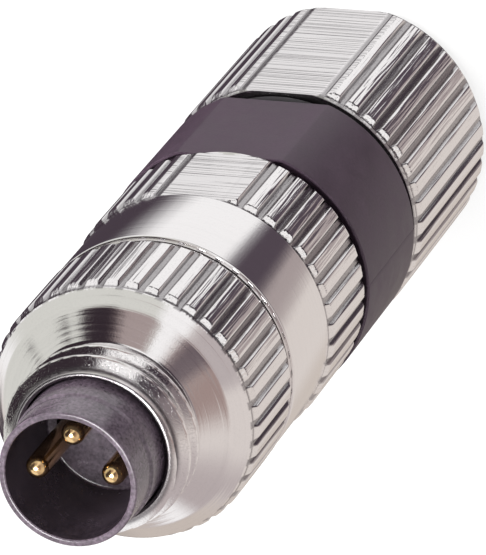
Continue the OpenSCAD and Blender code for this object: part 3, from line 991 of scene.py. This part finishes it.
class MakeContactPins(bpy.types.Operator):
    """Three gold-plated contact pins"""

    bl_idname = "connector.contact_pins"
    bl_label = "Contact pins"

    def execute(self, context):
        settings = context.scene.connector
        finish = thin_gold(settings.finish)
        for number in (1, 3, 4):
            node = f"contact_pin_{number}"
            low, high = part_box(node)
            centre = ((low[0] + high[0]) / 2, (low[1] + high[1]) / 2)
            surface = contact_pin_surface(settings.carrier, centre)
            make_piece(
                f"gilt_pin_{number}", surface, finish, "housing", node, closed_section=False
            )
        return {"FINISHED"}


class MakeCouplingScrew(bpy.types.Operator):
    """Coupling screw with knurl, conical face and helical thread"""

    bl_idname = "connector.coupling_screw"
    bl_label = "Coupling screw"

    def execute(self, context):
        settings = context.scene.connector
        surface = coupling_screw_surface(settings.screw, settings.teeth)
        finish = bright_nickel(settings.finish)
        make_piece("knurled_coupling_screw", surface, finish, "screw", "coupling_screw")
        return {"FINISHED"}


class MakeFrontHousing(bpy.types.Operator):
    """Front housing with smooth band, knurled grip and flats"""

    bl_idname = "connector.front_housing"
    bl_label = "Front housing"

    def execute(self, context):
        settings = context.scene.connector
        surface = front_housing_surface(settings.housing, settings.teeth)
        finish = bright_nickel(settings.finish)
        make_piece("banded_front_housing", surface, finish, "housing", "front_housing")
        return {"FINISHED"}


class MakeSpliceBody(bpy.types.Operator):
    """Moulded ring with flats, and the rear thread for the nut"""

    bl_idname = "connector.splice_body"
    bl_label = "Splice body"

    def execute(self, context):
        settings = context.scene.connector
        surface = splice_body_surface(settings.body)
        finish = black_polyamide(settings.finish)
        make_piece("moulded_splice_body", surface, finish, "housing", "splice_body")
        return {"FINISHED"}


class MakeClampNut(bpy.types.Operator):
    """Knurled clamp nut with flats and cable hole"""

    bl_idname = "connector.clamp_nut"
    bl_label = "Clamp nut"

    def execute(self, context):
        settings = context.scene.connector
        surface = clamp_nut_surface(settings.nut, settings.teeth)
        finish = bright_nickel(settings.finish)
        make_piece("knurled_clamp_nut", surface, finish, "nut", "clamp_nut")
        return {"FINISHED"}


class MakeSealingRings(bpy.types.Operator):
    """Round sealing rings"""

    bl_idname = "connector.sealing_rings"
    bl_label = "Sealing rings"

    def execute(self, context):
        finish = black_rubber(context.scene.connector.finish)
        for node in ("nut_o_ring", "carrier_seal", "housing_seal"):
            make_piece(f"round_{node}", round_ring_surface(node), finish, "housing", node)
        return {"FINISHED"}


class DressInnerPieces(bpy.types.Operator):
    """Finishes of the inner pieces, which keep their CAD shape"""

    bl_idname = "connector.inner_pieces"
    bl_label = "Inner pieces"

    def execute(self, context):
        finish = context.scene.connector.finish
        tinned = plated_metal("tinned_bronze_sheet", finish.tin, roughness=0.28)
        dress = {
            "fork_holder": black_polyamide(finish),
            "idc_fork_1": tinned,
            "idc_fork_3": tinned,
            "idc_fork_4": tinned,
            "snap_ring": plated_metal("bright_spring_wire", finish.steel, roughness=0.24),
            "wire_guide": natural_polyamide(finish),
            "cable_seal": black_rubber(finish),
            "slip_washer": natural_polyamide(finish),
            "clamp_cage": black_polyamide(finish),
        }
        for node, material in dress.items():
            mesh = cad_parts[node].data
            mesh.materials.clear()
            mesh.materials.append(material)
        return {"FINISHED"}


# Soft cards round the part that its plated faces mirror. Each row gives the turn from the camera's
# side, half of the width and the softness in degrees, the lowest and highest sine of elevation
# and the softness there, and the tone. Later cards cover earlier ones.
CARDS = (
    ("warm wall, right", -112, 80, 36, -1.0, 0.1, 0.2, "#e0d9d4"),
    ("warm wall, far right", -165, 42, 40, -1.0, 0.1, 0.2, "#cfc5bd"),
    ("soft edge of the camera flag", -31, 17, 30, -1.2, -0.4, 0.2, "#aea3a2"),
    ("dark flag beside the camera", -7, 16, 18, -1.2, -0.3, 0.1, "#554b54"),
    ("dark flag, left", 138, 44, 48, -1.2, -0.25, 0.2, "#4a4049"),
    ("dark bench below the camera", 0, 43, 26, -0.58, -0.29, 0.06, "#32282f"),
    ("grey ceiling, left", 107, 83, 10, 0.0, 1.2, 0.16, "#dcddd7"),
    ("grey ceiling, right", -75, 72, 14, 0.05, 1.2, 0.16, "#e0d9d5"),
    ("grey ceiling, middle right", -27, 23, 14, 0.05, 1.2, 0.16, "#c0b7b7"),
    ("grey ceiling, far right", -140, 34, 30, 0.05, 1.2, 0.2, "#bdb3b3"),
    ("brown smear, right", -42, 40, 30, 0.68, 1.2, 0.14, "#a5918c"),
    ("dark smear, right", -18, 11, 18, 0.7, 1.2, 0.12, "#6e6267"),
    ("brown smear, left", 46, 20, 12, 0.63, 1.2, 0.14, "#aa9c9a"),
    ("dark smear, left", 71, 12, 14, 0.55, 1.2, 0.16, "#564a4d"),
    ("pale top, right", -95, 62, 18, 0.82, 1.2, 0.08, "#dcd5d0"),
    ("grey top, right", -52, 26, 40, 0.82, 1.2, 0.08, "#857a7d"),
    ("dark top, middle", -18, 23, 12, 0.87, 1.2, 0.08, "#3a3039"),
    ("white top, left", 36, 28, 10, 0.87, 1.2, 0.08, "#ffffff"),
    ("dark top, left", 86, 22, 10, 0.63, 1.2, 0.06, "#32282f"),
    ("dark top, far left", 115, 18, 8, 0.55, 1.2, 0.06, "#32282f"),
    ("dark top, left behind", 140, 18, 8, 0.36, 1.2, 0.06, "#32282f"),
    ("white sky behind", 192, 32, 12, 0.1, 0.76, 0.1, "#ffffff"),
)
# Strength of the even light that matt faces get
EVEN_LIGHT = 0.55
# Share of its own white that the floor shows the camera; the rest keeps the shadow
FLOOR_GLOW = 0.8


def studio_world(stage):
    """World of soft grey cards for mirror rays, plain white for the camera, even light for the rest."""
    world = bpy.data.worlds.new("studio")
    world.use_nodes = True
    tree = world.node_tree
    tree.nodes.clear()
    bpy.context.scene.world = world
    add = partial(add_node, tree)
    where = add("TexCoord").outputs["Generated"]
    height = add("SeparateXYZ", links={0: where}).outputs["Z"]
    level = add("VectorMath", {1: (1, 1, 0)}, {0: where}, operation="MULTIPLY")
    heading = add("VectorMath", links={0: level}, operation="NORMALIZE")
    behind = {}
    for _, away, half, soft, low, high, blur, shade in CARDS:
        middle = stage.side + math.radians(away)
        direction = (math.cos(middle), math.sin(middle), 0)
        toward = add("VectorMath", {1: direction}, {0: heading}, operation="DOT_PRODUCT").outputs["Value"]
        outer = math.cos(math.radians(half + soft / 2))
        inner = math.cos(math.radians(max(half - soft / 2, 0)))
        across, above, below = (
            add("MapRange", {"From Min": out, "From Max": full}, {"Value": value}, **SOFT_STEP)
            for value, out, full in (
                (toward, outer, inner),
                (height, low - blur / 2, low + blur / 2),
                (height, high + blur / 2, high - blur / 2),
            )
        )
        band = add("Math", links={0: above, 1: below}, operation="MULTIPLY")
        mask = add("Math", links={0: band, 1: across}, operation="MULTIPLY")
        card = add("Mix", {"A": WHITE, "B": linear(shade)}, {"Factor": mask, **behind}, data_type="RGBA")
        behind = {"A": card.outputs["Result"]}
    rays = add("LightPath").outputs
    mirrored = add("Background", links={"Color": behind["A"]})
    seen = add("Background", {"Color": WHITE})
    even = add("Background", {"Color": WHITE, "Strength": EVEN_LIGHT})
    clear = {0: rays["Is Glossy Ray"], 1: rays["Is Transmission Ray"]}
    shown = add("MixShader", links={0: add("Math", links=clear, operation="MAXIMUM"), 1: even, 2: mirrored})
    final = add("MixShader", links={0: rays["Is Camera Ray"], 1: shown, 2: seen})
    add("OutputWorld", links={"Surface": final})


def matt_floor_paint(finish):
    """Pale matt paint that stays near white in view and keeps a faint shadow of the part."""
    material, tree = new_material("pale_matt_floor")
    if tree is None:
        return material
    add = partial(add_node, tree)
    matt = add("BsdfDiffuse", {"Color": finish.floor})
    white = add("Emission", {"Color": WHITE})
    in_view = add("LightPath").outputs["Is Camera Ray"]
    glow = add("Math", {1: FLOOR_GLOW}, {0: in_view}, operation="MULTIPLY")
    mix = add("MixShader", links={0: glow, 1: matt, 2: white})
    add("OutputMaterial", links={"Surface": mix})
    return material


def pale_floor(half, paint):
    """Square floor a hair below the part, which the plated faces don't mirror."""
    level = NUT_BACK - HAIR
    corners = [(-half, -half, level), (half, -half, level), (half, half, level), (-half, half, level)]
    mesh = bpy.data.meshes.new("floor")
    mesh.from_pydata(corners, [], [(0, 1, 2, 3)])
    floor = bpy.data.objects.new("floor", mesh)
    bpy.context.scene.collection.objects.link(floor)
    floor.visible_glossy = False
    mesh.materials.append(paint)


def soft_lamp(name, stage, away, elevation, distance, width, power, mirrored=False):
    """Square area lamp at a turn from the camera's side and an elevation in degrees, aimed at the screw."""
    side = stage.side + math.radians(away)
    lift = math.radians(elevation)
    toward = Vector((math.cos(side) * math.cos(lift), math.sin(side) * math.cos(lift), math.sin(lift)))
    data = bpy.data.lights.new(name, "AREA")
    data.size = width
    data.energy = power
    lamp = bpy.data.objects.new(name, data)
    lamp.location = Vector((0, 0, SCREW_BACK)) + toward * distance
    lamp.rotation_euler = toward.to_track_quat("Z", "Y").to_euler()
    lamp.visible_glossy = mirrored
    bpy.context.scene.collection.objects.link(lamp)


def photo_camera(stage):
    """Camera that looks down at the mouth and is rolled so that the axis runs up to the right."""
    flat = math.sin(stage.tilt)
    out = Vector((flat * math.cos(stage.side), flat * math.sin(stage.side), math.cos(stage.tilt)))
    level_right = Vector((0, 0, 1)).cross(out).normalized()
    level_up = out.cross(level_right)
    right = math.cos(stage.roll) * level_right + math.sin(stage.roll) * level_up
    up = out.cross(right)
    data = bpy.data.cameras.new("camera")
    data.sensor_width = 36
    data.lens = stage.lens
    data.clip_start = 0.01
    data.clip_end = 10
    camera = bpy.data.objects.new("camera", data)
    place_at = Vector(stage.aim) + out * stage.distance
    camera.matrix_world = Matrix.Translation(place_at) @ Matrix((right, up, out)).transposed().to_4x4()
    bpy.context.scene.collection.objects.link(camera)
    bpy.context.scene.camera = camera


class BuildStage(bpy.types.Operator):
    """Camera, pale floor, soft lamps and the world"""

    bl_idname = "connector.stage"
    bl_label = "Stage"

    def execute(self, context):
        settings = context.scene.connector
        stage = settings.stage
        context.scene.view_settings.view_transform = "Standard"
        photo_camera(stage)
        pale_floor(stage.floor, matt_floor_paint(settings.finish))
        studio_world(stage)
        soft_lamp("key", stage, away=95, elevation=45, distance=0.5, width=0.35, power=3.8)
        # The second lamp stands almost overhead, lights the socket and shows in the plate.
        soft_lamp(
            "socket", stage, away=180, elevation=84, distance=0.4, width=0.18, power=1.6, mirrored=True
        )
        return {"FINISHED"}


OPERATORS = (
    MakeContactCarrier,
    MakeContactPins,
    MakeCouplingScrew,
    MakeFrontHousing,
    MakeSpliceBody,
    MakeClampNut,
    MakeSealingRings,
    DressInnerPieces,
    BuildStage,
)


class ConnectorPanel(bpy.types.Panel):
    """Lists the pieces and the stage"""

    bl_idname = "VIEW3D_PT_connector"
    bl_label = "Sensor connector"
    bl_space_type = "VIEW_3D"
    bl_region_type = "UI"
    bl_category = "Connector"

    def draw(self, context):
        for operator in OPERATORS:
            self.layout.operator(operator.bl_idname)


CLASSES = (
    ToothSizes,
    ScrewSizes,
    HousingSizes,
    BodySizes,
    NutSizes,
    CarrierSizes,
    FinishColours,
    StageSizes,
    ConnectorSettings,
    *OPERATORS,
    ConnectorPanel,
)


def register():
    for cls in CLASSES:
        bpy.utils.register_class(cls)
    bpy.types.Scene.connector = PointerProperty(type=ConnectorSettings)


def unregister():
    del bpy.types.Scene.connector
    for cls in reversed(CLASSES):
        bpy.utils.unregister_class(cls)


def main():
    register()
    for operator in OPERATORS:
        group, name = operator.bl_idname.split(".")
        getattr(getattr(bpy.ops, group), name)()


if __name__ == "__main__":
    main()
